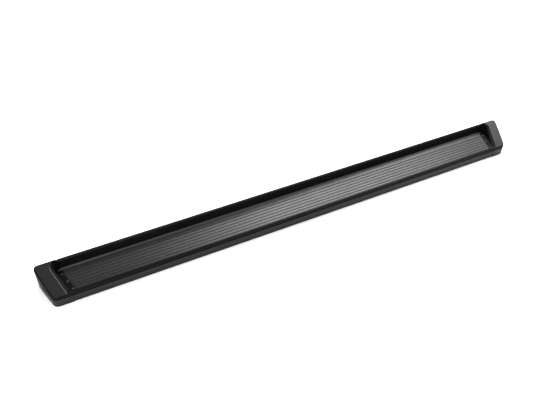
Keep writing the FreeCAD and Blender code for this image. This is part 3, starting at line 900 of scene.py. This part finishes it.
def rake_tree(name):
    """Repeats a rib across the pad, joins the pad's base and rakes both ends."""
    tree, group_in, group_out = tree_with_inputs(
        name,
        [
            ("Rib", "NodeSocketObject"),
            ("Count", "NodeSocketInt"),
            ("Start", "NodeSocketVector"),
            ("Pitch", "NodeSocketFloat"),
            ("Rake", "NodeSocketFloat"),
            ("Front", "NodeSocketFloat"),
            ("Material", "NodeSocketMaterial"),
        ],
    )
    link = tree.links.new
    rib = new_node(tree, "GeometryNodeObjectInfo")
    link(group_in.outputs["Rib"], rib.inputs["Object"])
    step = new_node(tree, "ShaderNodeCombineXYZ")
    link(group_in.outputs["Pitch"], step.inputs["Y"])
    line = new_node(tree, "GeometryNodeMeshLine", mode="OFFSET")
    link(group_in.outputs["Count"], line.inputs["Count"])
    link(group_in.outputs["Start"], line.inputs["Start Location"])
    link(step.outputs["Vector"], line.inputs["Offset"])
    copies = new_node(tree, "GeometryNodeInstanceOnPoints")
    link(line.outputs["Mesh"], copies.inputs["Points"])
    link(rib.outputs["Geometry"], copies.inputs["Instance"])
    joined = new_node(tree, "GeometryNodeJoinGeometry")
    link(copies.outputs["Instances"], joined.inputs["Geometry"])
    link(group_in.outputs["Geometry"], joined.inputs["Geometry"])
    realize = new_node(tree, "GeometryNodeRealizeInstances")
    link(joined.outputs["Geometry"], realize.inputs["Geometry"])
    place = new_node(tree, "GeometryNodeInputPosition")
    parts = new_node(tree, "ShaderNodeSeparateXYZ")
    link(place.outputs["Position"], parts.inputs["Vector"])
    side = math(tree, "SIGN", parts.outputs["X"], 0)
    behind = math(tree, "SUBTRACT", parts.outputs["Y"], group_in.outputs["Front"])
    reach = math(tree, "MULTIPLY", behind, group_in.outputs["Rake"])
    push = new_node(tree, "ShaderNodeCombineXYZ")
    link(math(tree, "MULTIPLY", side, reach), push.inputs["X"])
    shear = new_node(tree, "GeometryNodeSetPosition")
    link(realize.outputs["Geometry"], shear.inputs["Geometry"])
    link(push.outputs["Vector"], shear.inputs["Offset"])
    finish = new_node(tree, "GeometryNodeSetMaterial")
    link(shear.outputs["Geometry"], finish.inputs["Geometry"])
    link(group_in.outputs["Material"], finish.inputs["Material"])
    link(finish.outputs["Geometry"], group_out.inputs["Geometry"])
    return tree


# ---------------------------------------------------------------- operators


class CoatDeck(bpy.types.Operator):
    """Powder coat on the deck extrusion and rubber on the trim along its back wall"""

    bl_idname = "running_board.coat_deck"
    bl_label = "Deck and edge trim"

    def execute(self, context):
        finish, sizes, _ = settings(context)
        _, pad_high = board_box("step_pad")
        base = pad_high.z - sizes.rib_height
        coat = powder_coat(finish.coat, finish.painted_ledge_light, base, pad_high.y, sizes.ledge_width)
        coat_nodes(["deck_extrusion"], coat)
        coat_nodes(["rear_edge_trim"], soft_rubber(finish.rubber))
        return {"FINISHED"}


class GrainPlastic(bpy.types.Operator):
    """Grained plastic on the end caps and the front valance"""

    bl_idname = "running_board.grain_plastic"
    bl_label = "End caps and valance"

    def execute(self, context):
        finish, sizes, _ = settings(context)
        low, _ = board_box("right_end_cap")
        _, skirt_high = board_box("front_valance")
        top_plane = (low.y, sizes.cap_front, sizes.cap_slope)
        caps = cap_plastic(finish.plastic, finish.cap_top, top_plane, skirt_high.z)
        coat_nodes(["left_end_cap", "right_end_cap"], caps)
        coat_nodes(["front_valance"], skirt_plastic(finish.plastic))
        return {"FINISHED"}


class MakeTread(bpy.types.Operator):
    """Ribbed step pad with fine grip lines and raked ends"""

    bl_idname = "running_board.make_tread"
    bl_label = "Step pad"

    def execute(self, context):
        finish, sizes, _ = settings(context)
        low, high = board_box("step_pad")
        base = high.z - sizes.rib_height
        crease = radians(28)
        groove_margin = 0.2 * MM
        crest_margin = 0.5 * MM
        material = tread_elastomer(finish.tread, base + groove_margin, high.z - crest_margin)
        half = high.x - sizes.end_rake * (high.y - low.y)
        rib_half = half - sizes.rib_margin
        width = sizes.rib_pitch - sizes.groove_width
        first_middle = low.y + sizes.first_rib + sizes.groove_width
        last = first_middle + sizes.middle_ribs * sizes.rib_pitch

        def slab(work):
            edge = 0.2 * MM
            outline = [
                (low.y, low.z, 0),
                (low.y, base - edge, 0),
                (low.y + edge, base, 0),
                (high.y - edge, base, 0),
                (high.y, base - edge, 0),
                (high.y, low.z, 0),
            ]
            swept_bar(work, outline, half)

        def rib(start, rib_width):
            def build(work):
                outline = rib_profile(rib_width, sizes.rib_height, base, sizes.ridge_pitch)
                swept_bar(work, [(y + start, z, inset) for y, z, inset in outline], rib_half)

            return build

        def body(work):
            slab(work)
            rib(low.y, sizes.first_rib)(work)
            rib(last, high.y - last)(work)

        pad = finish_mesh("tread_pad", body, material)
        middle = finish_mesh("middle_rib", rib(0, width), material)
        values = {
            "Rib": middle,
            "Count": sizes.middle_ribs,
            "Start": (0, first_middle, 0),
            "Pitch": sizes.rib_pitch,
            "Rake": sizes.end_rake,
            "Front": low.y,
            "Material": material,
        }
        apply_tree(pad, rake_tree("tread_ribs"), values)
        bpy.data.objects.remove(middle)
        shade_smooth(pad, crease)
        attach(pad, "board")
        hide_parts("step_pad")
        return {"FINISHED"}


class MakeCapScrews(bpy.types.Operator):
    """Button-head screws on the caps' flanges, and zinc on the nuts and port screws behind them"""

    bl_idname = "running_board.make_cap_screws"
    bl_label = "Cap screws"

    def execute(self, context):
        finish, sizes, _ = settings(context)
        material = black_oxide()
        low, high = board_box("right_tread_screws")
        count = 3
        head_radius = 5.0 * MM
        head_height = 2.8 * MM
        shank_radius = 2.5 * MM
        seat = high.z - head_height
        start = Vector((low.x + head_radius, low.y + head_radius, seat))
        stop = Vector((high.x - head_radius, high.y - head_radius, seat))

        def screw(work):
            socket_screw(work, head_radius, head_height, shank_radius, seat - low.z, sizes.socket)

        piece = finish_mesh("tread_screw_heads", screw, material)
        step = (stop - start) / (count - 1)
        copy_in_rows(piece, row_tree("cap_screw_rows"), count, start, step, True, material)
        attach(piece, "board")
        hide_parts("left_tread_screws", "right_tread_screws")
        plate = zinc_plate(finish.zinc)
        coat_nodes([end + "_" + kind for end in ENDS for kind in ("rivet_nuts", "port_screws")], plate)
        return {"FINISHED"}


class MakeValanceScrews(bpy.types.Operator):
    """Row of screws behind the front web that hold the valance"""

    bl_idname = "running_board.make_valance_screws"
    bl_label = "Valance screws"

    def execute(self, context):
        finish, sizes, _ = settings(context)
        material = zinc_plate(finish.zinc)
        low, high = board_box("valance_screws")
        count = 8
        socket_share = 0.8
        head_radius = (high.z - low.z) / 2
        head_height = 2.6 * MM
        shank_radius = 2.0 * MM
        flats = sizes.socket * socket_share
        seat = high.y - head_height
        start = Vector((low.x + head_radius, seat, low.z + head_radius))
        span = high.x - low.x - 2 * head_radius

        def screw(work):
            socket_screw(work, head_radius, head_height, shank_radius, seat - low.y, flats)
            bmesh.ops.rotate(work, verts=work.verts, cent=(0, 0, 0), matrix=Matrix.Rotation(-pi / 2, 3, "X"))

        piece = finish_mesh("valance_screw_heads", screw, material)
        step = (span / (count - 1), 0, 0)
        copy_in_rows(piece, row_tree("valance_screw_row"), count, start, step, False, material)
        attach(piece, "board")
        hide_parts("valance_screws")
        return {"FINISHED"}


class MakeCarriages(bpy.types.Operator):
    """Threaded bracket bolts, zinc on their slider plates and nylon on their retainers"""

    bl_idname = "running_board.make_carriages"
    bl_label = "Bracket carriages"

    def execute(self, context):
        finish, sizes, _ = settings(context)
        zinc = zinc_plate(finish.zinc)
        nylon = moulded_nylon()
        for station in STATIONS:
            for row in ROWS:
                name = station + "_" + row
                coat_nodes([name + "_slider_plate"], zinc)
                coat_nodes([name + "_retainer"], nylon)
                self.make_bolt(name, zinc, sizes.thread_pitch)
        return {"FINISHED"}

    def make_bolt(self, name, material, pitch):
        low, high = board_box(name + "_carriage_bolt")
        plate_low, plate_high = board_box(name + "_slider_plate")
        retainer_low, _ = board_box(name + "_retainer")
        middle = (low + high) / 2
        place = Vector((middle.x, middle.y, 0))
        thread_radius = 4.0 * MM
        shank_radius = 3.8 * MM
        neck_half = 4.1 * MM
        heights = (low.z, retainer_low.z, plate_low.z, plate_high.z, high.z)
        radii = (thread_radius, shank_radius, neck_half, (high.x - low.x) / 2)

        def build(work):
            threaded_bolt(work, place, heights, radii, pitch)

        bolt = finish_mesh(name + "_bolt", build, material)
        shade_smooth(bolt)
        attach(bolt, name + "_carriage")
        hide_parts(name + "_carriage_bolt")


class SetStage(bpy.types.Operator):
    """Pale floor, two softboxes, even room light and the camera"""

    bl_idname = "running_board.set_stage"
    bl_label = "Stage"

    def execute(self, context):
        _, _, stage = settings(context)
        scene = context.scene
        reach = 30

        def sheet(work):
            bmesh.ops.create_grid(work, x_segments=1, y_segments=1, size=reach)

        floor = finish_mesh("studio_floor", sheet, studio_floor(stage.floor))
        softboxes = (
            ("main_softbox", stage.key_place, (0, 0, 0), stage.key_size, stage.key_power),
            ("side_softbox", stage.side_place, stage.side_aim, stage.side_size, stage.side_power),
        )
        for softbox in softboxes:
            self.add_softbox(scene, *softbox)
        room = bpy.data.worlds.new("room")
        room.use_nodes = True
        background = room.node_tree.nodes["Background"]
        background.inputs["Color"].default_value = (1, 1, 1, 1)
        background.inputs["Strength"].default_value = stage.room
        room.cycles_visibility.glossy = False
        scene.world = room
        scene.view_settings.view_transform = "Standard"
        self.add_camera(scene, stage)
        return {"FINISHED"}

    def add_softbox(self, scene, name, place, aim, size, power):
        light = bpy.data.lights.new(name, "AREA")
        light.shape = "RECTANGLE"
        light.size, light.size_y = size
        light.energy = power
        lamp = bpy.data.objects.new(name, light)
        lamp.location = place
        lamp.rotation_euler = (Vector(place) - Vector(aim)).to_track_quat("Z", "Y").to_euler()
        scene.collection.objects.link(lamp)

    def add_camera(self, scene, stage):
        view_reach = 100
        lens = bpy.data.cameras.new("camera")
        lens.lens = stage.lens
        lens.shift_x, lens.shift_y = stage.framing
        lens.clip_end = view_reach
        camera = bpy.data.objects.new("camera", lens)
        turn = stage.camera_turn
        tilt = stage.camera_tilt
        look = Vector((cos(turn) * cos(tilt), sin(turn) * cos(tilt), -sin(tilt)))
        camera.location = stage.camera_place
        camera.rotation_euler = look.to_track_quat("-Z", "Y").to_euler()
        scene.collection.objects.link(camera)
        scene.camera = camera


class RunningBoardPanel(bpy.types.Panel):
    """The board's pieces, sizes and finishes"""

    bl_idname = "VIEW3D_PT_running_board"
    bl_label = "Running Board"
    bl_space_type = "VIEW_3D"
    bl_region_type = "UI"
    bl_category = "Running Board"

    def draw(self, context):
        for group in settings(context):
            box = self.layout.box()
            for name in group.bl_rna.properties.keys():
                if name not in ("rna_type", "name"):
                    box.prop(group, name)
        for operator in OPERATORS:
            self.layout.operator(operator.bl_idname)


GROUPS = (RunningBoardFinish, RunningBoardSizes, RunningBoardStage)
OPERATORS = (CoatDeck, GrainPlastic, MakeTread, MakeCapScrews, MakeValanceScrews, MakeCarriages, SetStage)


def register():
    for cls in GROUPS + OPERATORS + (RunningBoardPanel,):
        bpy.utils.register_class(cls)
    bpy.types.Scene.running_board_finish = bpy.props.PointerProperty(type=RunningBoardFinish)
    bpy.types.Scene.running_board_sizes = bpy.props.PointerProperty(type=RunningBoardSizes)
    bpy.types.Scene.running_board_stage = bpy.props.PointerProperty(type=RunningBoardStage)


def unregister():
    del bpy.types.Scene.running_board_stage
    del bpy.types.Scene.running_board_sizes
    del bpy.types.Scene.running_board_finish
    for cls in reversed(GROUPS + OPERATORS + (RunningBoardPanel,)):
        bpy.utils.unregister_class(cls)


def main():
    register()
    bpy.ops.running_board.coat_deck()
    bpy.ops.running_board.grain_plastic()
    bpy.ops.running_board.make_tread()
    bpy.ops.running_board.make_cap_screws()
    bpy.ops.running_board.make_valance_screws()
    bpy.ops.running_board.make_carriages()
    bpy.ops.running_board.set_stage()


if __name__ == "__main__":
    main()
